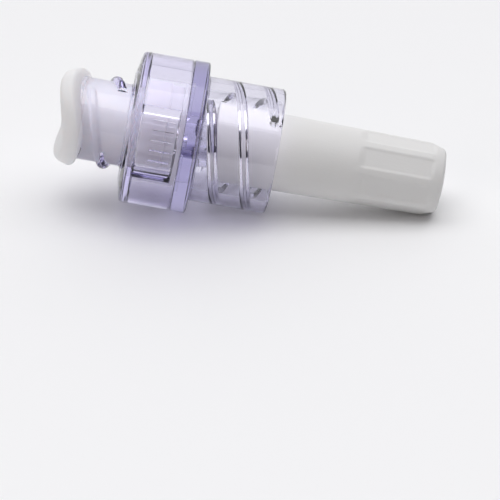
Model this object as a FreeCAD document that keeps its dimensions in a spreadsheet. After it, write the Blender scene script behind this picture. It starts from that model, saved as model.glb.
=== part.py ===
"""Needle-free connector with a capped male luer lock, lying as it comes to rest.

Every piece is modelled along its own axis, which is +X here: x = 0 is the front face
of the collar, -x runs to the silicone head, +x to the tip cap. Angles about the axis are
counted from the side that faces -Y, positive downwards. One placement, worked out at the
end, then lays all pieces on the collar's rear rim and on two ribs of the cap.
All lengths are in millimetres.
"""
import FreeCAD, Part
import math
import os
import re
import Sketcher
from FreeCAD import Placement, Rotation, Vector

SIZES = {
    # collar and its welded rear flange
    "collar_radius": 6.0,
    "collar_length": 4.4,
    "collar_corner": 0.3,
    "front_land_radius": 4.2,
    "front_cone_drop": 0.42,
    "flange_thick": 1.3,
    "flange_corner": 0.2,
    # neck: a female luer with a two-start outside thread
    "neck_radius": 3.25,
    "neck_length": 3.58,
    "neck_root_bevel": 0.15,
    "bore_mouth_radius": 2.15,
    "luer_taper": 0.03,
    "neck_thread_crest": 3.68,
    "neck_thread_crest_width": 0.4,
    "neck_thread_base_width": 1.05,
    "neck_thread_inset": 0.3,
    "neck_thread_start_angle": -64,
    "neck_thread_rise": 2.53,
    "luer_lead": 5.0,
    "thread_bury": 0.2,
    # chamber inside the collar
    "chamber_radius": 4.1,
    "ceiling": 1.2,
    "ceiling_cone": 0.8,
    # grip panel sunk in each side of the collar
    "panel_floor": 4.8,
    "panel_front_land": 1.0,
    "panel_rear_land": 0.5,
    "panel_half_width": 2.1,
    "panel_wall_run": 1.7,
    "panel_end_run": 0.15,
    "panel_overshoot": 0.5,
    "rib_width": 0.3,
    "rib_height": 0.24,
    "rib_pitch": 0.8,
    "rib_front_gap": 1.0,
    "rib_end_gap": 0.2,
    # locking skirt with its two-start inside thread
    "skirt_radius": 4.95,
    "skirt_length": 6.2,
    "skirt_corner": 0.3,
    "skirt_bore": 4.0,
    "web_thick": 1.0,
    "skirt_thread_crest": 3.5,
    "skirt_thread_crest_width": 0.5,
    "skirt_thread_base_width": 1.0,
    "skirt_thread_inset": 0.63,
    "skirt_thread_start_angle": -70,
    "skirt_thread_rise": 5.26,
    # male luer cone
    "tip_stand_out": 2.1,
    "tip_radius": 1.985,
    "tip_chamfer": 0.15,
    "lumen_radius": 1.1,
    # valve seat in the flange's face
    "fit_gap": 0.05,
    "seat_channel_width": 0.6,
    "seat_channel_depth": 0.45,
    "seat_channel_from": 0.1,
    "seat_channel_reach": 2.9,
    # silicone valve plug: saddle-shaped head, stem, bell and foot
    "head_radius": 3.83,
    "head_side_slope": 0.2,
    "head_thick": 1.45,
    "head_round": 0.55,
    "saddle_rise": 0.43,
    "saddle_radius": 3.5,
    "saddle_reach": 4.6,
    "horn_angle": -60,
    "stem_radius": 1.93,
    "bell_slack": 0.1,
    "bell_radius": 3.7,
    "bell_wall": 1.0,
    "bell_straight": 0.7,
    "bell_crown_radius": 0.77,
    "foot_flange": 0.35,
    "foot_step": 0.25,
    # tip cap
    "cap_gap": 1.5,
    "cap_length": 18.2,
    "cap_mouth_radius": 3.12,
    "cap_shoulder_radius": 2.87,
    "cap_nose_length": 1.2,
    "cap_nose_radius": 2.5,
    "cap_dome": 0.2,
    "cap_seat_beyond": 0.7,
    "cap_core_radius": 1.5,
    "cap_end_wall": 1.5,
    "cap_grip_length": 6.2,
    "cap_grip_land": 0.8,
    "cap_grip_depth": 0.16,
    "cap_rib_width": 0.62,
    "cap_rib_bury": 0.1,
    "cap_clocking": -5,
}
NECK_STARTS = 2
SKIRT_STARTS = 2
GRIP_RIBS = 5
SEAT_CHANNELS = 4
CAP_RIBS = 8
LIP_BEVELS = 2
SAME_PLACE = 1e-4

# Stations along the axis, each worked out from the lengths before it
COLLAR_END = "collar_length"
FLANGE_END = "(collar_length + flange_thick)"
WEB_END = "(collar_length + web_thick)"
SKIRT_END = f"({FLANGE_END} + skirt_length)"
TIP_END = f"({SKIRT_END} + tip_stand_out)"
PANEL_START = "panel_front_land"
PANEL_END = "(collar_length - panel_rear_land)"
HEAD_BACK = "(-neck_length - fit_gap)"
HEAD_FRONT = "(-neck_length - fit_gap - head_thick)"
HEAD_MIDDLE = "(-neck_length - fit_gap - head_thick / 2)"
CAP_START = f"({WEB_END} + cap_gap)"
CAP_NOSE = f"({CAP_START} + cap_length)"
CAP_SHOULDER = f"({CAP_NOSE} - cap_nose_length)"
CAP_GRIP_END = f"({CAP_NOSE} - cap_grip_land)"
CAP_GRIP_START = f"({CAP_GRIP_END} - cap_grip_length)"
CAP_SEAT_END = f"({TIP_END} + cap_seat_beyond)"

doc = FreeCAD.newDocument("needle_free_connector")
sheet = doc.addObject("Spreadsheet::Sheet", "Sizes")
for row, (alias, number) in enumerate(SIZES.items(), start=1):
    sheet.set(f"A{row}", alias)
    sheet.set(f"B{row}", str(number))
    sheet.setAlias(f"B{row}", alias)
doc.recompute()


def sheet_text(text):
    """Write each alias in an expression as a reference to the sheet."""
    return re.sub(r"[a-z]\w*", lambda word: f"Sizes.{word.group()}", str(text))


def value(text):
    """The number that an expression on the sheet gives now."""
    result = sheet.evalExpression(sheet_text(text))
    return float(getattr(result, "Value", result))


def new_body(name):
    body = doc.addObject("PartDesign::Body", name)
    body.Label = name
    return body


def origin_plane(body, role):
    return next(plane for plane in body.Origin.OriginFeatures if plane.Role == role)


def new_sketch(body, name, role="XY_Plane", turn=0.0, offset=0.0):
    """A sketch on an origin plane, turned about the X axis and moved along its normal."""
    sketch = body.newObject("Sketcher::SketchObject", name)
    sketch.AttachmentSupport = (origin_plane(body, role), [""])
    sketch.MapMode = "FlatFace"
    rotation = Rotation(Vector(1, 0, 0), turn)
    sketch.AttachmentOffset = Placement(rotation.multVec(Vector(0, 0, offset)), rotation)
    return sketch


def draw_polygon(sketch, corners):
    """A closed outline whose corners are pairs of expressions on the sheet."""
    first = len(sketch.Geometry)
    seeds = [Vector(value(across), value(up), 0) for across, up in corners]
    count = len(corners)
    for index in range(count):
        sketch.addGeometry(Part.LineSegment(seeds[index], seeds[(index + 1) % count]), False)
    for index in range(count):
        sketch.addConstraint(Sketcher.Constraint(
            "Coincident", first + index, 2, first + (index + 1) % count, 1))
    for index, (across, up) in enumerate(corners):
        for kind, text, seed in (("DistanceX", across, seeds[index].x),
                                 ("DistanceY", up, seeds[index].y)):
            number = sketch.addConstraint(Sketcher.Constraint(
                kind, -1, 1, first + index, 1, seed))
            sketch.setExpression(f"Constraints[{number}]", sheet_text(text))


def revolve(body, name, corners):
    """Turn an outline of (x, radius) corners about the axis."""
    sketch = new_sketch(body, name + "_sketch")
    draw_polygon(sketch, corners)
    feature = body.newObject("PartDesign::Revolution", name)
    feature.Profile = sketch
    feature.ReferenceAxis = (sketch, ["H_Axis"])
    feature.Angle = 360
    doc.recompute()
    return feature


def loft(body, name, kind, sections, turn=0.0):
    """A ruled loft between outlines, each given with its plane and its distance from it."""
    sketches = []
    for index, (role, offset, corners) in enumerate(sections):
        sketch = new_sketch(body, f"{name}_sketch_{index}", role, turn, offset)
        draw_polygon(sketch, corners)
        sketches.append(sketch)
    feature = body.newObject(kind, name)
    feature.Profile = sketches[0]
    feature.Sections = sketches[1:]
    feature.Ruled = True
    doc.recompute()
    return feature


def ring_edges(shape, rings):
    """Names of the circular edges about the axis at the given (x, radius) places."""
    names = []
    for index, edge in enumerate(shape.Edges, start=1):
        curve = edge.Curve
        if not isinstance(curve, Part.Circle):
            continue
        if any(abs(curve.Center.x - x) < SAME_PLACE
               and abs(curve.Radius - radius) < SAME_PLACE for x, radius in rings):
            names.append(f"Edge{index}")
    return names


def bevel_ring(body, name, width, x, radius):
    """Bevel the circular edge about the axis at a station and radius."""
    base = body.Group[-1]
    bevel = body.newObject("PartDesign::Chamfer", name)
    bevel.Base = (base, ring_edges(base.Shape, [(value(x), value(radius))]))
    bevel.setExpression("Size", sheet_text(width))
    doc.recompute()
    return bevel


def polar(body, name, feature, copies, axis_sketch):
    """Copies of a feature, spaced evenly about the axis."""
    pattern = body.newObject("PartDesign::PolarPattern", name)
    pattern.Originals = [feature]
    pattern.Axis = (axis_sketch, ["H_Axis"])
    pattern.Angle = 360
    pattern.Occurrences = copies
    body.Tip = pattern
    doc.recompute()
    return pattern


def luer_thread(body, name, wall, crest, start, starts):
    """Helical ridges of trapezoid section; their other sizes carry the thread's name."""
    sketch = new_sketch(body, name + "_sketch", turn=value(f"{name}_start_angle") + 180)
    draw_polygon(sketch, [
        (f"{start} - {name}_base_width / 2", wall),
        (f"{start} - {name}_crest_width / 2", crest),
        (f"{start} + {name}_crest_width / 2", crest),
        (f"{start} + {name}_base_width / 2", wall),
    ])
    ridge = body.newObject("PartDesign::AdditiveHelix", name)
    ridge.Profile = sketch
    ridge.ReferenceAxis = (sketch, ["H_Axis"])
    ridge.Mode = 0
    ridge.setExpression("Pitch", sheet_text("luer_lead"))
    ridge.setExpression("Height", sheet_text(f"{name}_rise"))
    doc.recompute()
    return polar(body, name + "_starts", ridge, starts, sketch)


def saddle_corners(middle_front, middle_back, side):
    """Outline of a saddle block's end: its front and back edges slant with the saddle."""
    slant = "2 * saddle_rise * (saddle_reach / saddle_radius) ^ 2"
    return [
        (f"{middle_front} + ({side}) * {slant}", "saddle_reach"),
        (f"{middle_back} + ({side}) * {slant}", "saddle_reach"),
        (f"{middle_back} - ({side}) * {slant}", "-saddle_reach"),
        (f"{middle_front} - ({side}) * {slant}", "-saddle_reach"),
    ]


def saddle_block(body, name, kind, middle_front, middle_back):
    """A block with hyperbolic front and back faces, raised towards the two horns."""
    reach = value("saddle_reach")
    eighth = 45
    turn = value("horn_angle") + 3 * eighth
    return loft(body, name, kind, [
        ("XY_Plane", -reach, saddle_corners(middle_front, middle_back, "1")),
        ("XY_Plane", reach, saddle_corners(middle_front, middle_back, "-1")),
    ], turn)


def grip_panel(body, side, sign):
    """A sunk panel with lengthwise ribs, in the collar's side towards -Y (1) or +Y (-1)."""
    floor = value("panel_floor")
    outside = value("collar_radius + panel_overshoot")
    sections = []
    for level, depth in ((floor, "0"), (outside, "(collar_radius + panel_overshoot - panel_floor)")):
        low = f"{PANEL_START} - {depth} * panel_end_run"
        high = f"{PANEL_END} + {depth} * panel_end_run"
        half = f"(panel_half_width + {depth} * panel_wall_run)"
        corners = [(low, f"-{half}"), (high, f"-{half}"), (high, half), (low, half)]
        sections.append(("XZ_Plane", sign * level, corners))
    loft(body, f"panel_{side}", "PartDesign::SubtractiveLoft", sections)
    ribs = new_sketch(body, f"ribs_{side}_sketch", "XZ_Plane",
                      offset=sign * (floor - value("rib_height")))
    rib_start = f"{PANEL_START} + rib_front_gap"
    rib_end = f"{PANEL_END} - rib_end_gap"
    for index in range(GRIP_RIBS):
        middle = f"{index - (GRIP_RIBS - 1) / 2} * rib_pitch"
        draw_polygon(ribs, [
            (rib_start, f"{middle} - rib_width / 2"),
            (rib_end, f"{middle} - rib_width / 2"),
            (rib_end, f"{middle} + rib_width / 2"),
            (rib_start, f"{middle} + rib_width / 2"),
        ])
    pad = body.newObject("PartDesign::Pad", f"ribs_{side}")
    pad.Profile = ribs
    pad.Reversed = sign < 0
    pad.setExpression("Length", sheet_text("rib_height * 2"))
    doc.recompute()


def make_upper_housing():
    """Clear front moulding: threaded neck, collar with grip panels, and valve chamber."""
    body = new_body("upper_housing")
    rim_end = "(-neck_length - saddle_rise)"
    revolve(body, "upper_turned", [
        (rim_end, "neck_radius"),
        ("0", "neck_radius"),
        ("0", "front_land_radius"),
        ("front_cone_drop", "collar_radius"),
        (COLLAR_END, "collar_radius"),
        (COLLAR_END, "chamber_radius"),
        ("ceiling + ceiling_cone", "chamber_radius"),
        ("ceiling", "bore_mouth_radius - luer_taper * (neck_length + ceiling)"),
        (rim_end, "bore_mouth_radius + luer_taper * saddle_rise"),
    ])
    bevel_ring(body, "collar_corner_bevel", "collar_corner", "front_cone_drop", "collar_radius")
    bevel_ring(body, "neck_root", "neck_root_bevel", "0", "neck_radius")
    grip_panel(body, "near", 1)
    grip_panel(body, "far", -1)
    luer_thread(body, "neck_thread", "neck_radius - thread_bury", "neck_thread_crest",
                "(-neck_length + neck_thread_inset)", NECK_STARTS)
    saddle_block(body, "neck_rim", "PartDesign::SubtractiveLoft",
                 "-neck_length - head_thick * 2", "-neck_length")
    return body


def make_base_housing():
    """Clear rear moulding: flange, valve seat, male luer cone and locking skirt."""
    body = new_body("base_housing")
    turned = revolve(body, "base_turned", [
        (COLLAR_END, "lumen_radius"),
        (COLLAR_END, "collar_radius"),
        (FLANGE_END, "collar_radius"),
        (FLANGE_END, "skirt_radius"),
        (SKIRT_END, "skirt_radius"),
        (SKIRT_END, "skirt_bore"),
        (WEB_END, "skirt_bore"),
        (WEB_END, f"tip_radius + luer_taper * ({TIP_END} - {WEB_END})"),
        (f"{TIP_END} - tip_chamfer", "tip_radius + luer_taper * tip_chamfer"),
        (TIP_END, "tip_radius - tip_chamfer"),
        (TIP_END, "lumen_radius"),
    ])
    bevel_ring(body, "flange_corner_bevel", "flange_corner", FLANGE_END, "collar_radius")
    bevel_ring(body, "skirt_corner_bevel", "skirt_corner", SKIRT_END, "skirt_radius")
    channel = new_sketch(body, "seat_channel_sketch")
    channel_top = f"{COLLAR_END} - seat_channel_depth"
    channel_floor = f"{COLLAR_END} + seat_channel_depth"
    draw_polygon(channel, [
        (channel_top, "seat_channel_from"),
        (channel_floor, "seat_channel_from"),
        (channel_floor, "seat_channel_reach"),
        (channel_top, "seat_channel_reach"),
    ])
    pocket = body.newObject("PartDesign::Pocket", "seat_channel")
    pocket.Profile = channel
    pocket.Midplane = True
    pocket.setExpression("Length", sheet_text("seat_channel_width"))
    doc.recompute()
    polar(body, "seat_channels", pocket, SEAT_CHANNELS, turned.Profile[0])
    luer_thread(body, "skirt_thread", "skirt_bore + thread_bury", "skirt_thread_crest",
                f"({WEB_END} + skirt_thread_inset)", SKIRT_STARTS)
    return body


def lip_rings(shape):
    """The ring edges of the head's two lips, without the short seams between them."""
    probes = 9
    rings = []
    for index, edge in enumerate(shape.Edges, start=1):
        nearest = min(math.hypot(point.y, point.z) for point in edge.discretize(probes))
        if nearest > value("stem_radius") and edge.Length > value("head_radius"):
            rings.append(index)
    return rings


def bevel_lips(name, base, width):
    """Bevel every ring edge of the head by the same width."""
    bevel = doc.addObject("Part::Chamfer", name)
    bevel.Base = base
    bevel.Edges = [(index, width, width) for index in lip_rings(base.Shape)]
    doc.recompute()
    return bevel


def make_valve_plug():
    """One silicone moulding: saddle head over the neck, stem, bell and foot."""
    saddle = new_body("head_saddle")
    saddle_block(saddle, "head_saddle_block", "PartDesign::AdditiveLoft", HEAD_FRONT, HEAD_BACK)
    disc = new_body("head_disc")
    front = f"({HEAD_FRONT} - 2 * saddle_rise)"
    back = f"({HEAD_BACK} + 2 * saddle_rise)"
    wide = "head_radius + head_side_slope * ({} - " + HEAD_MIDDLE + ")"
    revolve(disc, "head_disc_turned", [
        (front, "0"), (front, wide.format(front)), (back, wide.format(back)), (back, "0")])
    head = doc.addObject("Part::Common", "head_blank")
    head.Base = disc
    head.Tool = saddle
    doc.recompute()
    # a lip's round is a row of facets that touch its arc: each bevel halves the turns
    # that are left between them
    lips = head
    for step in range(LIP_BEVELS):
        turn = math.radians(45) / 2 ** step
        width = value("head_round") * (math.tan(turn) - math.tan(turn / 2))
        lips = bevel_lips(f"head_lips_{step}", lips, width)
    stem = new_body("plug_stem")
    crown = "(ceiling + bell_slack)"
    bell_start = "(ceiling + ceiling_cone + bell_slack)"
    foot = "(chamber_radius - 2 * fit_gap)"
    wall_inside = "(bell_radius - bell_wall)"
    foot_top = f"{COLLAR_END} - foot_flange"
    revolve(stem, "plug_stem_turned", [
        (HEAD_MIDDLE, "0"),
        (HEAD_MIDDLE, "stem_radius"),
        (crown, "stem_radius"),
        (bell_start, "bell_radius"),
        (f"{bell_start} + bell_straight", "bell_radius"),
        (foot_top, f"{foot} - foot_step"),
        (foot_top, foot),
        (COLLAR_END, foot),
        (COLLAR_END, wall_inside),
        ("ceiling + ceiling_cone + bell_wall", wall_inside),
        ("ceiling + bell_wall", "bell_crown_radius"),
        ("ceiling + bell_wall", "0"),
    ])
    plug = doc.addObject("Part::MultiFuse", "valve_plug")
    plug.Shapes = [lips, stem]
    plug.Refine = True
    plug.Label = "valve_plug"
    doc.recompute()
    return plug


def make_tip_cap():
    """White cap on the male luer: tapered sleeve with a ribbed, sunk grip zone."""
    body = new_body("tip_cap")
    taper = f"((cap_mouth_radius - cap_shoulder_radius) / ({CAP_SHOULDER} - {CAP_START}))"
    nose_slope = "((cap_shoulder_radius - cap_nose_radius) / cap_nose_length)"
    at_grip = f"(cap_mouth_radius - {taper} * ({CAP_GRIP_START} - {CAP_START}))"
    at_grip_end = f"(cap_shoulder_radius - {nose_slope} * ({CAP_GRIP_END} - {CAP_SHOULDER}))"
    seat = "tip_radius + fit_gap + luer_taper * (" + TIP_END + " - {})"
    turned = revolve(body, "cap_turned", [
        (CAP_START, seat.format(CAP_START)),
        (CAP_START, "cap_mouth_radius"),
        (CAP_GRIP_START, at_grip),
        (CAP_GRIP_START, f"{at_grip} - cap_grip_depth"),
        (CAP_SHOULDER, "cap_shoulder_radius - cap_grip_depth"),
        (CAP_GRIP_END, f"{at_grip_end} - cap_grip_depth"),
        (CAP_GRIP_END, at_grip_end),
        (CAP_NOSE, "cap_nose_radius"),
        (f"{CAP_NOSE} + cap_dome", "0"),
        (f"{CAP_NOSE} - cap_end_wall", "0"),
        (f"{CAP_NOSE} - cap_end_wall", "cap_core_radius"),
        (CAP_SEAT_END, "cap_core_radius"),
        (CAP_SEAT_END, seat.format(CAP_SEAT_END)),
    ])
    rib = new_sketch(body, "cap_rib_sketch", turn=value("cap_clocking"))
    draw_polygon(rib, [
        (f"{CAP_GRIP_START} - cap_rib_bury", f"{at_grip} - cap_grip_depth * 2"),
        (f"{CAP_GRIP_START} - cap_rib_bury", at_grip),
        (CAP_SHOULDER, "cap_shoulder_radius"),
        (CAP_GRIP_END, at_grip_end),
        (CAP_GRIP_END, f"{at_grip_end} - cap_grip_depth * 2"),
        (CAP_SHOULDER, "cap_shoulder_radius - cap_grip_depth * 2"),
    ])
    pad = body.newObject("PartDesign::Pad", "cap_rib")
    pad.Profile = rib
    pad.Midplane = True
    pad.setExpression("Length", sheet_text("cap_rib_width"))
    doc.recompute()
    polar(body, "cap_ribs", pad, CAP_RIBS, turned.Profile[0])
    return body


def rest_placement(pieces):
    """Lay the connector on the flange's rim and on the two ribs of the cap that face down."""
    down = 90
    pitch = 360 / CAP_RIBS
    first_gap = value("cap_clocking") + pitch / 2
    lowest_gap = first_gap + pitch * round((down - first_gap) / pitch)
    roll = down - lowest_gap
    half = math.radians(pitch / 2)
    rib_corner = (value("cap_shoulder_radius") * math.cos(half)
                  + value("cap_rib_width") / 2 * math.sin(half))
    run = value(f"{CAP_SHOULDER} - ({FLANGE_END} - flange_corner)")
    tilt = math.degrees(math.atan2(value("collar_radius") - rib_corner, run))
    turned = Rotation(Vector(0, 1, 0), tilt).multiply(Rotation(Vector(1, 0, 0), roll))
    box = FreeCAD.BoundBox()
    for piece in pieces:
        shape = piece.Shape.copy()
        shape.Placement = Placement(Vector(), turned).multiply(shape.Placement)
        box.add(shape.optimalBoundingBox(False))
    shift = Vector(-(box.XMin + box.XMax) / 2, -(box.YMin + box.YMax) / 2, -box.ZMin)
    print(f"rest tilt {tilt:.3f} degrees, roll {roll:.1f} degrees, axis origin at "
          f"{shift.x:.4f}, {shift.y:.4f}, {shift.z:.4f} mm, "
          f"box {box.XLength:.3f} x {box.YLength:.3f} x {box.ZLength:.3f} mm")
    return Placement(shift, turned)


def check_document():
    for item in doc.Objects:
        if "Invalid" in item.State or "Error" in item.State:
            raise RuntimeError(f"{item.Name} failed: {item.State}")


nodes = [make_upper_housing(), make_base_housing(), make_valve_plug(), make_tip_cap()]
doc.recompute()
check_document()
rest = rest_placement(nodes)
for node in nodes:
    node.Placement = rest
doc.recompute()
check_document()
os.makedirs("parts", exist_ok=True)
for node in nodes:
    shape = node.Shape
    if shape.isNull() or not shape.isValid() or len(shape.Solids) != 1:
        raise RuntimeError(f"{node.Label} is not one valid solid")
    print(f"{node.Label}: {shape.Volume:.3f} mm3, {len(shape.Faces)} faces")
    shape.exportStep(f"parts/{node.Label}.step")
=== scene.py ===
"""Needle-free connector with a capped male luer lock: its looks, on the frame of its CAD model.

Every piece is made in millimetres along its own axis, +X, with x = 0 on the collar's front
face, -x towards the silicone head and +x towards the tip cap. Angles about the axis count
from the side that faces -Y, positive downwards. lay_down() then puts the piece where the
CAD model lies.
"""
import math

import bmesh
import bpy
from mathutils import Matrix, Vector


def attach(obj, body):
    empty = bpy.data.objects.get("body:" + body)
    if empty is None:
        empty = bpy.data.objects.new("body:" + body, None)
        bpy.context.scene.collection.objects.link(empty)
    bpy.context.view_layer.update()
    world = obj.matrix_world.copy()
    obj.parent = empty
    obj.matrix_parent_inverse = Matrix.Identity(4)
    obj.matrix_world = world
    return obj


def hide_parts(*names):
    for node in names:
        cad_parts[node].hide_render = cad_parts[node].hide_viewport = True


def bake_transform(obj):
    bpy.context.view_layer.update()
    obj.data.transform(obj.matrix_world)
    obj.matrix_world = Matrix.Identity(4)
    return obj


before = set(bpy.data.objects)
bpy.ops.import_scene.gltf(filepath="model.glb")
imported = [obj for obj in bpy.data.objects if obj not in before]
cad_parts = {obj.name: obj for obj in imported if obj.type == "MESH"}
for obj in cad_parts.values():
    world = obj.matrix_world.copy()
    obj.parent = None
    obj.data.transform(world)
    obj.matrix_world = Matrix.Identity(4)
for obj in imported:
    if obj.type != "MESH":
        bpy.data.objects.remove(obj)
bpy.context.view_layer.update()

MM = 0.001
AXIS = Vector((1, 0, 0))
ORIGIN = Vector((0, 0, 0))

# how the connector lies: its axis points down towards the cap, and it is rolled onto two ribs
AXIS_DROP = math.radians(9.956)
ROLL = math.radians(-17.5)
AXIS_START = Vector((-9.6330, 0, 6.9066)) * MM
ALONG = Vector((math.cos(AXIS_DROP), 0, -math.sin(AXIS_DROP)))
ABOVE = Vector((math.sin(AXIS_DROP), 0, math.cos(AXIS_DROP)))
LAID = (Matrix.Translation(AXIS_START)
        @ Matrix((ALONG, (0, 1, 0), ABOVE)).transposed().to_4x4()
        @ Matrix.Scale(MM, 4))

# how finely round forms are divided
ROUND_STEPS = 144
CAP_STEPS = 288
ARC_STEP = math.radians(15)
RIDGE_STEP = math.radians(3)
SAME_PLACE = 1e-5

# luer fittings
LUER_LEAD = 5.0
LUER_TAPER = 0.03
THREAD_STARTS = 2
RIDGE_RAMP = math.radians(14)
RAMP_FOOT = 0.25
CREST_ROUND = 0.12

# neck, collar and chamber
NECK_RADIUS = 3.25
NECK_RIM = -3.58
NECK_BORE = 2.15
SADDLE_RISE = 0.49
SADDLE_RADIUS = 3.5
HORN_ANGLE = math.radians(-61)
COLLAR_RADIUS = 6.0
COLLAR_END = 4.4
CEILING = 0.95
WELD_GAP = 0.012

# grip panels in the collar's sides
PANEL_FLOOR = 4.8
PANEL_FRONT = 1.0
PANEL_REAR = 3.9
PANEL_HALF_HEIGHT = 2.1
PANEL_RIBS = 5
RIBS_FRONT = 2.0
RIBS_REAR = 3.7

# flange, locking skirt and luer cone
FLANGE_END = 5.7
SKIRT_RADIUS = 4.95
SKIRT_BORE = 4.0
SKIRT_END = 11.9
WEB_END = 5.4
TIP_RADIUS = 1.985
TIP_END = 14.0
LUMEN = 1.1

# silicone head
HEAD_FRONT = -5.08
HEAD_BACK = -3.63
LIP_BACK = -3.89
HEAD_RADIUS = 3.83

# grip ribs of the cap
CAP_RIBS = 8
RIB_STEP = math.tau / CAP_RIBS
RIB_START = math.radians(-5)


# mesh helpers

def clean(bm):
    """Close the seam and the poles of a turned shape, with its faces outwards."""
    bmesh.ops.remove_doubles(bm, verts=bm.verts, dist=SAME_PLACE)
    bmesh.ops.recalc_face_normals(bm, faces=bm.faces)
    return bm


def outline(corners, closed):
    """A wire through (x, radius) corners, rounded where a third number gives the radius."""
    bm = bmesh.new()
    verts = [bm.verts.new((corner[0], corner[1], 0)) for corner in corners]
    for start, end in zip(verts, verts[1:] + verts[:1] if closed else verts[1:]):
        bm.edges.new((start, end))
    places = [vert.co.copy() for vert in verts]
    for index, corner in enumerate(corners):
        if len(corner) < 3:
            continue
        before = places[index] - places[index - 1]
        after = places[(index + 1) % len(places)] - places[index]
        turn = before.angle(after)
        bmesh.ops.bevel(
            bm, geom=[verts[index]], affect="VERTICES", offset_type="OFFSET",
            offset=corner[2] * math.tan(turn / 2), segments=max(2, round(turn / ARC_STEP)),
            profile=0.5, material=-1)
    return bm


def turned(corners, closed=True, steps=ROUND_STEPS):
    """Spin an outline about the axis; an open one starts and ends on it."""
    bm = outline(corners, closed)
    bmesh.ops.spin(bm, geom=bm.verts[:] + bm.edges[:], cent=ORIGIN, axis=AXIS, dvec=ORIGIN,
                   angle=math.tau, steps=steps, use_merge=True, use_duplicate=False)
    return clean(bm)


def turn_about_axis(bm, angle):
    """Turn a whole shape about the connector's axis."""
    bmesh.ops.rotate(bm, verts=bm.verts, cent=ORIGIN,
                     matrix=Matrix.Rotation(angle, 3, "X"))
    return bm


def ridge(wall, crest, base_width, crest_width, start, start_angle, rise):
    """One helical ridge with ramped ends; its section is a trapezoid with a rounded crest."""
    bm = bmesh.new()
    section = [bm.verts.new((start + x, radius, 0)) for x, radius in (
        (-base_width / 2, wall), (-crest_width / 2, crest),
        (crest_width / 2, crest), (base_width / 2, wall))]
    bm.faces.new(section)
    bmesh.ops.bevel(bm, geom=section[1:3], affect="VERTICES", offset_type="OFFSET",
                    offset=CREST_ROUND, segments=3, profile=0.5, material=-1)
    turn = math.tau * rise / LUER_LEAD
    steps = round(turn / RIDGE_STEP)
    bmesh.ops.spin(bm, geom=bm.faces[:] + bm.edges[:] + bm.verts[:], cent=ORIGIN, axis=AXIS,
                   dvec=AXIS * rise / steps, angle=turn, steps=steps,
                   use_merge=False, use_duplicate=False)
    for vert in bm.verts:
        angle = math.atan2(vert.co.z, vert.co.y) % math.tau
        along = vert.co.x - start
        # how far the vertex is from either end, in turn; a long ridge passes an angle twice
        from_start = angle if abs(along) < LUER_LEAD / 2 else math.tau
        last = (turn - angle) % math.tau
        from_end = last if abs(along - rise) < LUER_LEAD / 2 else math.tau
        near = min(from_start, from_end)
        if near < RIDGE_RAMP:
            radius = math.hypot(vert.co.y, vert.co.z)
            height = RAMP_FOOT + (1 - RAMP_FOOT) * near / RIDGE_RAMP
            kept = wall + (radius - wall) * height
            vert.co.y *= kept / radius
            vert.co.z *= kept / radius
    bmesh.ops.recalc_face_normals(bm, faces=bm.faces)
    return turn_about_axis(bm, start_angle - math.pi)


def block(low, high, round_over=0.0):
    """A box between two corners, with rounded edges where a radius is given."""
    bm = bmesh.new()
    bmesh.ops.create_cube(bm, size=1.0)
    size = [b - a for a, b in zip(low, high)]
    middle = [(a + b) / 2 for a, b in zip(low, high)]
    bmesh.ops.scale(bm, verts=bm.verts, vec=size)
    bmesh.ops.translate(bm, verts=bm.verts, vec=middle)
    if round_over:
        bmesh.ops.bevel(bm, geom=bm.edges[:], affect="EDGES", offset_type="OFFSET",
                        offset=round_over, segments=3, profile=0.5, material=-1)
    return bm


def together(*shapes):
    """Several bmeshes in one."""
    whole = bmesh.new()
    for shape in shapes:
        mesh = bpy.data.meshes.new("part")
        shape.to_mesh(mesh)
        shape.free()
        whole.from_mesh(mesh)
        bpy.data.meshes.remove(mesh)
    return whole


def copies(shape, count, step):
    """The shape and its copies, each turned on about the axis by the step."""
    shapes = [shape]
    for index in range(1, count):
        shapes.append(turn_about_axis(shape.copy(), index * step))
    return together(*shapes)


def both_sides(shape):
    """The shape and its mirror image on the other side of the collar."""
    other = shape.copy()
    bmesh.ops.scale(other, verts=other.verts, vec=(1, -1, 1))
    bmesh.ops.recalc_face_normals(other, faces=other.faces)
    return together(shape, other)


def as_object(name, bm):
    """Turn a bmesh into an object of the scene."""
    mesh = bpy.data.meshes.new(name)
    bm.to_mesh(mesh)
    bm.free()
    made = bpy.data.objects.new(name, mesh)
    bpy.context.scene.collection.objects.link(made)
    return made


def combine(shape, tool, operation):
    """Exact union or difference of two closed shapes."""
    base, other = as_object("base", shape), as_object("other", tool)
    join = base.modifiers.new("join", "BOOLEAN")
    join.operation = operation
    join.solver = "EXACT"
    join.object = other
    bpy.context.view_layer.update()
    mesh = bpy.data.meshes.new_from_object(
        base.evaluated_get(bpy.context.evaluated_depsgraph_get()))
    result = bmesh.new()
    result.from_mesh(mesh)
    bpy.data.meshes.remove(mesh)
    for used in (base, other):
        left = used.data
        bpy.data.objects.remove(used)
        bpy.data.meshes.remove(left)
    bmesh.ops.remove_doubles(result, verts=result.verts, dist=SAME_PLACE)
    return result


def lay_down(name, bm, finish, node, sharp_from=32):
    """Put the finished shape in its place, in metres, and let it stand for its CAD node."""
    turn_about_axis(bm, ROLL)
    bmesh.ops.transform(bm, matrix=LAID, verts=bm.verts)
    piece = as_object(name, bm)
    piece.data.materials.append(finish)
    piece.data.shade_smooth()
    piece.data.set_sharp_from_angle(angle=math.radians(sharp_from))
    flat_faces = piece.modifiers.new("flat_faces", "WEIGHTED_NORMAL")
    flat_faces.keep_sharp = True
    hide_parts(node)
    return piece


# finishes

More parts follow.
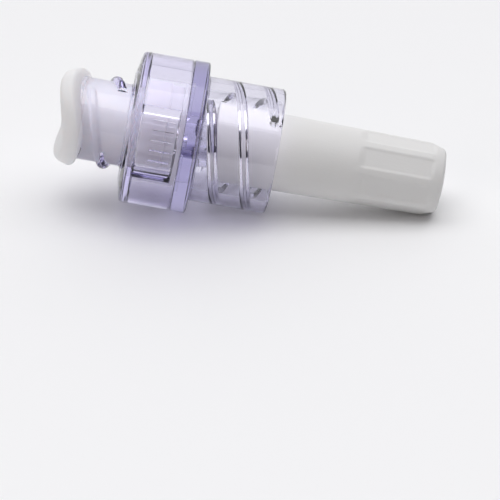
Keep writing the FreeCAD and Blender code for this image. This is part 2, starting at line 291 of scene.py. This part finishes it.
class Signal:
    """A shader socket in an expression: each operator adds a Math node."""

    def __init__(self, finish, socket):
        self.finish, self.socket = finish, socket

    def _math(self, operation, first, second):
        return self.finish.node("ShaderNodeMath", {0: first, 1: second}, operation=operation)

    def __add__(self, other):
        return self._math("ADD", self, other)

    def __sub__(self, other):
        return self._math("SUBTRACT", self, other)

    def __rsub__(self, other):
        return self._math("SUBTRACT", other, self)

    def __mul__(self, other):
        return self._math("MULTIPLY", self, other)

    def __gt__(self, other):
        return self._math("GREATER_THAN", self, other)

    def __lt__(self, other):
        return self._math("LESS_THAN", self, other)

    __radd__, __rmul__ = __add__, __mul__


class Finish:
    """One material and its nodes."""

    def __init__(self, name, tree=None):
        self.tree = tree
        if tree is None:
            self.material = bpy.data.materials.new(name)
            self.material.use_nodes = True
            self.tree = self.material.node_tree
            self.tree.nodes.clear()

    def node(self, kind, inputs=None, output=0, stops=(), **settings):
        """Any node: its type, its sockets' values or links, its settings and a ramp's stops."""
        made = self.tree.nodes.new(kind)
        for name, setting in settings.items():
            setattr(made, name, setting)
        for index, (place, colour) in enumerate(stops):
            ramp = made.color_ramp.elements
            stop = ramp[index] if index < len(ramp) else ramp.new(place)
            stop.position, stop.color = place, colour
        for name, given in (inputs or {}).items():
            if isinstance(given, Signal):
                self.tree.links.new(given.socket, made.inputs[name])
            else:
                made.inputs[name].default_value = given
        return Signal(self, made.outputs[output])

    def own_place(self, size=1.0, stretch=(1, 1, 1)):
        """Place along the connector's own axis, in units of size millimetres."""
        place = self.node("ShaderNodeTexCoord", output="Object")
        return self.node("ShaderNodeMapping", {
            "Vector": place, "Location": AXIS_START, "Rotation": (ROLL, AXIS_DROP, 0),
            "Scale": [size * MM / s for s in stretch]}, vector_type="TEXTURE")

    def part_of_place(self, letter):
        """One coordinate of own_place, in millimetres."""
        return self.node("ShaderNodeSeparateXYZ", {"Vector": self.own_place()}, output=letter)

    def noise(self, size_mm, detail=2.0, stretch=(1, 1, 1)):
        """Noise whose blobs are about size_mm across."""
        return self.node("ShaderNodeTexNoise", {
            "Vector": self.own_place(size_mm, stretch), "Scale": 1.0, "Detail": detail,
            "Roughness": 0.5})

    def without_sign(self, value):
        """A value without its sign."""
        return self.node("ShaderNodeMath", {0: value}, operation="ABSOLUTE")

    def mix(self, part, first, second):
        """From the first colour to the second as the part goes from 0 to 1."""
        return self.node("ShaderNodeMix", {0: part, 6: first, 7: second}, output=2,
                         data_type="RGBA")

    def bump(self, height, strength, depth_mm):
        """Relief from a height pattern."""
        return self.node("ShaderNodeBump", {
            "Height": height, "Strength": strength, "Distance": depth_mm * MM})

    def output(self, **shaders):
        """Join the shaders to the material's output and give the material."""
        made = self.tree.nodes.new("ShaderNodeOutputMaterial")
        for name, shader in shaders.items():
            self.tree.links.new(shader.socket, made.inputs[name])
        return self.material


def clear_plastic(name, tint):
    """Polished clear moulding with a faint violet tint that deepens with its thickness."""
    clear = Finish(name)
    flow = clear.noise(3.2, 1.0, (0.35, 1, 1))
    grain = clear.noise(0.35, 2.0)
    along = clear.part_of_place("X")
    across = clear.without_sign(clear.part_of_place("Y"))
    # the grip panels' floors are lightly etched in front of their ribs
    etched = ((across > PANEL_FLOOR - 0.2) * (across < PANEL_FLOOR + 0.05)
              * (along > PANEL_FRONT + 0.05) * (along < RIBS_FRONT))
    body = clear.node("ShaderNodeBsdfPrincipled", {
        "Base Color": (0.975, 0.972, 0.995, 1),
        "Roughness": 0.02 + grain * 0.03 + etched * 0.10,
        "IOR": 1.57, "Transmission Weight": 1.0,
        "Normal": clear.bump(flow + grain * 0.06, 0.35, 0.02)})
    # clear plastic throws only a faint shadow
    in_shadow = clear.node("ShaderNodeLightPath", output="Is Shadow Ray")
    see_through = clear.node("ShaderNodeBsdfTransparent", {"Color": (0.98, 0.98, 0.985, 1)})
    surface = clear.node("ShaderNodeMixShader", {0: in_shadow, 1: body, 2: see_through})
    depth = clear.node("ShaderNodeVolumeAbsorption", {"Color": (*tint, 1), "Density": 150.0})
    return clear.output(Surface=surface, Volume=depth)


def milky_silicone():
    """Soft satin silicone: milky and cloudy, with painted light whitening the stem and painted
    shade darkening the bell.
    """
    soft = Finish("silicone_milky")
    cloud = soft.noise(1.6, 2.0)
    grain = soft.noise(0.12, 2.0)
    along = soft.part_of_place("X")
    tone = soft.mix(cloud, (0.83, 0.822, 0.822, 1), (0.90, 0.892, 0.896, 1))
    warm_patch = soft.noise(3.5, 1.0) * 0.4
    tone = soft.mix(warm_patch, tone, (0.90, 0.835, 0.805, 1))
    # painted light: the stem behind the head is whitened so that it shows brighter through the
    # neck
    stem_painted_light = (along > -3.5) * 0.95
    tone = soft.mix(stem_painted_light, tone, (0.99, 0.985, 0.99, 1))
    # painted shade: the bell inside the chamber is darkened where it sits enclosed by the
    # collar
    bell_painted_shade = (along > CEILING) * 0.85
    tone = soft.mix(bell_painted_shade, tone, (0.64, 0.62, 0.68, 1))
    body = soft.node("ShaderNodeBsdfPrincipled", {
        "Base Color": tone, "Roughness": 0.38 + grain * 0.12, "IOR": 1.41,
        "Subsurface Weight": 1.0, "Subsurface Radius": (1.0, 0.92, 0.88),
        "Subsurface Scale": 2.2 * MM, "Transmission Weight": 0.05,
        "Normal": soft.bump(cloud + grain * 0.15, 0.4, 0.03)})
    return soft.output(Surface=body)


def white_moulding():
    """Matt white cap with fine mould grain along its axis."""
    white = Finish("cap_white_matt")
    patch = white.noise(4.0, 2.0, (0.4, 1, 1))
    grain = white.noise(0.10, 3.0, (0.3, 1, 1))
    body = white.node("ShaderNodeBsdfPrincipled", {
        "Base Color": white.mix(patch, (0.745, 0.738, 0.728, 1), (0.805, 0.800, 0.792, 1)),
        "Roughness": 0.5 + grain * 0.12, "IOR": 1.49,
        "Subsurface Weight": 0.25, "Subsurface Radius": (1.0, 0.95, 0.9),
        "Subsurface Scale": 0.5 * MM,
        "Normal": white.bump(grain + patch * 0.3, 0.35, 0.02)})
    return white.output(Surface=body)


# upper housing

def saddle(y, z):
    """How far the head's faces and the neck's rim bulge along the axis at a place."""
    around = math.atan2(-z, -y)
    return (-SADDLE_RISE * (y * y + z * z) / SADDLE_RADIUS ** 2
            * math.cos(2 * (around - HORN_ANGLE)))


def bore_at(x):
    """Radius of the neck's luer bore."""
    return NECK_BORE - LUER_TAPER * (x - NECK_RIM)


def rim_cutter():
    """A block in front of the neck whose rear face is the saddle."""
    cells, half_width, depth = 48, 4.6, 3.0
    bm = bmesh.new()
    bmesh.ops.create_grid(bm, x_segments=cells, y_segments=cells, size=half_width)
    bmesh.ops.rotate(bm, verts=bm.verts, cent=ORIGIN,
                     matrix=Matrix.Rotation(math.pi / 2, 3, "Y"))
    for vert in bm.verts:
        vert.co.x = NECK_RIM + saddle(vert.co.y, vert.co.z)
    grown = bmesh.ops.extrude_face_region(bm, geom=bm.faces[:])
    front = [part for part in grown["geom"] if isinstance(part, bmesh.types.BMVert)]
    bmesh.ops.translate(bm, vec=AXIS * -depth, verts=front)
    bmesh.ops.recalc_face_normals(bm, faces=bm.faces)
    return bm


def panel_cutter():
    """The sunk grip panels: flat floors with sloping walls."""
    end_slope, side_slope, outside, floor_round = 0.15, 1.7, 6.5, 0.1
    depth = outside - PANEL_FLOOR
    bm = block((0, 0, 0), (1, 1, 1))
    for vert in bm.verts:
        rear, inner, upper = (place > 0.5 for place in vert.co)
        out = 0.0 if inner else depth
        vert.co.x = PANEL_REAR + end_slope * out if rear else PANEL_FRONT - end_slope * out
        vert.co.y = -PANEL_FLOOR - out
        vert.co.z = (PANEL_HALF_HEIGHT + side_slope * out) * (1 if upper else -1)
    floor_edges = [edge for edge in bm.edges
                   if all(abs(vert.co.y + PANEL_FLOOR) < SAME_PLACE for vert in edge.verts)]
    bmesh.ops.bevel(bm, geom=floor_edges, affect="EDGES", offset_type="OFFSET",
                    offset=floor_round, segments=3, profile=0.5, material=-1)
    bmesh.ops.recalc_face_normals(bm, faces=bm.faces)
    return both_sides(bm)


def panel_ribs():
    """Plain grip ribs across each panel's floor."""
    height, sunk, half_width, pitch, edge_round = 0.34, 0.24, 0.17, 0.8, 0.05
    ribs = []
    for index in range(PANEL_RIBS):
        middle = (index - (PANEL_RIBS - 1) / 2) * pitch
        ribs.append(block((RIBS_FRONT, -PANEL_FLOOR - height, middle - half_width),
                          (RIBS_REAR, -PANEL_FLOOR + sunk, middle + half_width), edge_round))
    return both_sides(together(*ribs))


def upper_housing(finish):
    """Neck with its outside thread, collar with the grip panels, and the chamber."""
    # the neck starts in front of its rim, where rim_cutter then cuts the saddle
    spare = 0.3
    front, rear = NECK_RIM - SADDLE_RISE - spare, COLLAR_END - WELD_GAP
    face_radius, face_slope, chamber = 4.2, 0.42, 4.1
    shape = turned([
        (front, NECK_RADIUS), (0, NECK_RADIUS, 0.18), (0, face_radius, 0.1),
        (face_slope, COLLAR_RADIUS, 0.3), (rear, COLLAR_RADIUS, 0.09), (rear, chamber),
        (CEILING, chamber, 0.2), (CEILING, bore_at(CEILING), 0.08), (front, bore_at(front)),
    ])
    shape = combine(shape, panel_cutter(), "DIFFERENCE")
    shape = combine(shape, panel_ribs(), "UNION")
    thread = ridge(wall=NECK_RADIUS - 0.2, crest=3.68, base_width=1.05, crest_width=0.4,
                   start=-3.28, start_angle=math.radians(-64), rise=2.53)
    shape = combine(shape, copies(thread, THREAD_STARTS, math.tau / THREAD_STARTS), "UNION")
    shape = combine(shape, rim_cutter(), "DIFFERENCE")
    return lay_down("upper_housing_clear", shape, finish, "upper_housing")


# base housing

def base_housing(finish):
    """Flange, valve seat, male luer cone and locking skirt with its inside thread."""
    top = COLLAR_END + WELD_GAP
    shape = turned([
        (top, LUMEN, 0.1), (top, COLLAR_RADIUS, 0.09), (FLANGE_END, COLLAR_RADIUS, 0.2),
        (FLANGE_END, SKIRT_RADIUS, 0.12), (SKIRT_END, SKIRT_RADIUS, 0.3),
        (SKIRT_END, SKIRT_BORE, 0.12), (WEB_END, SKIRT_BORE, 0.2),
        (WEB_END, TIP_RADIUS + LUER_TAPER * (TIP_END - WEB_END), 0.2),
        (TIP_END, TIP_RADIUS, 0.15), (TIP_END, LUMEN, 0.08),
    ])
    # two crossed grooves make the four flow channels
    reach, half_width, groove_front, groove_floor = 2.9, 0.3, 3.95, 4.85
    for y, z in ((reach, half_width), (half_width, reach)):
        groove = block((groove_front, -y, -z), (groove_floor, y, z))
        shape = combine(shape, groove, "DIFFERENCE")
    thread = ridge(wall=SKIRT_BORE + 0.2, crest=3.5, base_width=1.0, crest_width=0.36,
                   start=6.03, start_angle=math.radians(-58), rise=5.26)
    shape = combine(shape, copies(thread, THREAD_STARTS, math.tau / THREAD_STARTS), "UNION")
    return lay_down("base_housing_clear", shape, finish, "base_housing")


# valve plug

def valve_plug(finish):
    """One silicone moulding: saddle head over the neck's rim, stem, bell and foot."""
    ring, rings, bore_contact = 0.4, 7, 0.02
    seat, lip_width = 3.2, 0.5
    bell_front, bell_end, bell, bell_wall = CEILING + 0.06, 3.0, 3.92, 3.75
    foot_front, foot_end, foot, hollow = 4.05, COLLAR_END - WELD_GAP, 4.0, 2.7
    core_end, core = 2.2, 0.77
    front = [(HEAD_FRONT, index * ring) for index in range(rings)]
    lip = [(HEAD_FRONT, 3.52, 0.62), (LIP_BACK, 3.96, 0.3)]
    back = [(HEAD_BACK, seat, 0.1), (HEAD_BACK, 2.8), (HEAD_BACK, 2.5)]
    stem = [(x, bore_at(x) + bore_contact) for x in (HEAD_BACK, -3.2, -2.8, CEILING)]
    shape = turned(front + lip + back + stem + [
        (bell_front, 2.2), (bell_front, bell, 0.25), (bell_end, bell, 0.1),
        (bell_end + 0.1, bell_wall, 0.1), (foot_front, bell_wall, 0.1),
        (foot_front, foot, 0.08), (foot_end, foot, 0.05), (foot_end, hollow, 0.1),
        (bell_end, hollow, 0.3), (core_end, core, 0.3), (core_end, 0)], closed=False)
    bend_end, bend_length = -2.9, 0.6
    lean_y, lean_z, flare = 0.041, 0.019, 0.2
    head_middle = (LIP_BACK + HEAD_FRONT) / 2
    for vert in shape.verts:
        x, y, z = vert.co
        if x > bend_end:
            continue
        held = min(1.0, (bend_end - x) / bend_length)
        radius = math.hypot(y, z)
        shift = saddle(y, z) * held
        # the front and the lip lean a little, and the part that sits on the rim doesn't
        free = 1.0 if x < head_middle else min(1.0, max(0.0, (radius - seat) / lip_width))
        lean = (lean_y * y - lean_z * z) * free
        wide = 1 + flare * shift / HEAD_RADIUS * radius / HEAD_RADIUS
        vert.co = Vector((x + shift + lean, y * wide, z * wide))
    return lay_down("valve_plug_silicone", shape, finish, "valve_plug", sharp_from=60)


# tip cap

def eased(place, start, end):
    """A smooth step from 0 at start to 1 at end."""
    part = min(1.0, max(0.0, (place - start) / (end - start)))
    return part * part * (3 - 2 * part)


def tip_cap(finish):
    """White sleeve on the luer cone with a ribbed, sunk grip zone."""
    start, shoulder, grip_start, grip_end, nose = 6.9, 23.9, 18.1, 24.4, 25.1
    mouth, shoulder_radius, nose_radius = 3.12, 2.87, 2.5
    taper = (mouth - shoulder_radius) / (shoulder - start)
    nose_slope = (shoulder_radius - nose_radius) / (nose - shoulder)
    seat_end, core, core_end, clearance = 14.7, 1.5, 23.6, 0.05
    run_in, run_out = 0.8, 0.5
    rib_top, rib_foot, facet_depth, facet_share, inside = 0.18, 0.46, 0.07, 0.36, 2.3

    def seat(x):
        """Radius of the bore that sits on the luer cone."""
        return TIP_RADIUS + clearance + LUER_TAPER * (TIP_END - x)

    def outside(x):
        """Radius of the sleeve without its facets."""
        if x < shoulder:
            return mouth - taper * (x - start)
        return shoulder_radius - nose_slope * (x - shoulder)

    def rings(first, gap, count):
        """Corners on the outside that let the facets' ends ease in."""
        return [(first + gap * step, outside(first + gap * step)) for step in range(count)]

    shape = turned([
        (core_end, 0), (core_end, core), (seat_end, core), (seat_end, seat(seat_end)),
        (start, seat(start), 0.08), (start, mouth, 0.15)] + rings(grip_start, 0.1, 9) + [
        (shoulder, shoulder_radius, 0.8)] + rings(grip_end - 0.3, 0.05, 7) + [
        (nose, nose_radius, 0.35), (nose + 0.13, 1.6, 2.0), (nose + 0.2, 0)],
        closed=False, steps=CAP_STEPS)
    # nearly flat facets are sunk between the ribs
    for vert in shape.verts:
        x, y, z = vert.co
        radius = math.hypot(y, z)
        if not grip_start < x < grip_end or radius < inside:
            continue
        around = math.atan2(-z, -y) - RIB_START
        off_middle = around % RIB_STEP - RIB_STEP / 2
        from_rib = RIB_STEP / 2 - abs(off_middle)
        facet = (radius - facet_depth) * math.cos(RIB_STEP * facet_share) / math.cos(off_middle)
        sunk = (eased(x, grip_start, grip_start + run_in)
                * eased(-x, -grip_end, run_out - grip_end)
                * eased(from_rib * radius, rib_top, rib_foot))
        kept = 1 + (facet / radius - 1) * sunk
        vert.co.y *= kept
        vert.co.z *= kept
    return lay_down("tip_cap_white", shape, finish, "tip_cap", sharp_from=60)


# the four pieces, and what the housings and the cap ride on

def on_axis(x):
    """A place on the laid connector's axis, in metres."""
    return tuple(LAID @ Vector((x, 0, 0)))


# one clear plastic in two tints: the neck and collar get the paler one, painted light that lets
# the milky stem in the neck show brighter
housing_front = upper_housing(clear_plastic("clear_neck_and_collar", (0.74, 0.70, 0.94)))
housing_rear = base_housing(clear_plastic("clear_flange_and_skirt", (0.49, 0.45, 0.75)))
plug = valve_plug(milky_silicone())
cap = tip_cap(white_moulding())

for piece in (housing_front, housing_rear):
    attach(piece, "housing")
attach(cap, "cap")
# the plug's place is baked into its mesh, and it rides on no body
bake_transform(plug)


# floor, light and camera

def backdrop():
    """A wide pale floor that shows white and keeps the shadow."""
    bm = bmesh.new()
    bmesh.ops.create_grid(bm, x_segments=1, y_segments=1, size=1.5)
    floor = as_object("floor", bm)
    pale = Finish("floor_pale")
    body = pale.node("ShaderNodeBsdfPrincipled", {
        "Base Color": (0.93, 0.93, 0.935, 1), "Roughness": 0.6, "Specular IOR Level": 0.2})
    floor.data.materials.append(pale.output(Surface=body))


def softbox(name, place, aim, size, power, colour=(1, 1, 1)):
    """A rectangular lamp that faces its aim."""
    lamp = bpy.data.lights.new(name, "AREA")
    lamp.shape = "RECTANGLE"
    lamp.size, lamp.size_y = size
    lamp.energy = power
    lamp.color = colour
    made = bpy.data.objects.new(name, lamp)
    made.location = place
    made.rotation_euler = (Vector(aim) - Vector(place)).to_track_quat("-Z", "Y").to_euler()
    bpy.context.scene.collection.objects.link(made)


def world_light():
    """A white wall behind the object and a dim room in front of it and at its sides."""
    world = bpy.data.worlds.new("studio")
    world.use_nodes = True
    world.node_tree.nodes.clear()
    room = Finish("studio", world.node_tree)
    way = room.node("ShaderNodeTexCoord", output="Generated")
    sideways, behind, height = (
        room.node("ShaderNodeSeparateXYZ", {"Vector": way}, output=letter) for letter in "XYZ")
    brightness = behind * 0.5 + height * 0.35 + 0.50 - room.without_sign(sideways) * 0.50
    tone = room.node("ShaderNodeValToRGB", {"Fac": brightness}, output="Color", stops=(
        (0.14, (0.020, 0.019, 0.024, 1)), (0.42, (0.15, 0.146, 0.165, 1)),
        (0.62, (0.72, 0.72, 0.76, 1)), (0.80, (0.95, 0.95, 0.96, 1))))
    light = room.node("ShaderNodeBackground", {"Color": tone, "Strength": 0.95})
    out = world.node_tree.nodes.new("ShaderNodeOutputWorld")
    world.node_tree.links.new(light.socket, out.inputs["Surface"])
    bpy.context.scene.world = world


def camera():
    """The photo's view: from above the near side, a little right of square on."""
    elevation, azimuth = math.radians(30.17), math.radians(2.71)
    distance, width, below, beside = 0.260, 39.32 * MM, 8.05 * MM, 0.14 * MM
    connector_middle = 10
    back = Vector((math.sin(azimuth) * math.cos(elevation),
                   -math.cos(azimuth) * math.cos(elevation), math.sin(elevation)))
    right = Vector((math.cos(azimuth), math.sin(azimuth), 0))
    up = back.cross(right)
    aim = Vector(on_axis(connector_middle)) - up * below - right * beside
    eye = bpy.data.cameras.new("camera")
    eye.sensor_width = 36.0
    eye.lens = eye.sensor_width * distance / width
    eye.clip_start, eye.clip_end = 0.01, 10.0
    made = bpy.data.objects.new("camera", eye)
    made.matrix_world = (Matrix.Translation(aim + back * distance)
                         @ Matrix((right, up, back)).transposed().to_4x4())
    bpy.context.scene.collection.objects.link(made)
    bpy.context.scene.camera = made


backdrop()
softbox("softbox_above", (0.0, -0.01, 0.36), (0, 0, 0), (0.60, 0.30), 0.92)
softbox("fill_front", (-0.25, -0.45, 0.25), (0, 0, 0.005), (0.25, 0.25), 0.34,
        (1.0, 0.95, 0.90))
world_light()
camera()
bpy.context.scene.view_settings.view_transform = "Standard"
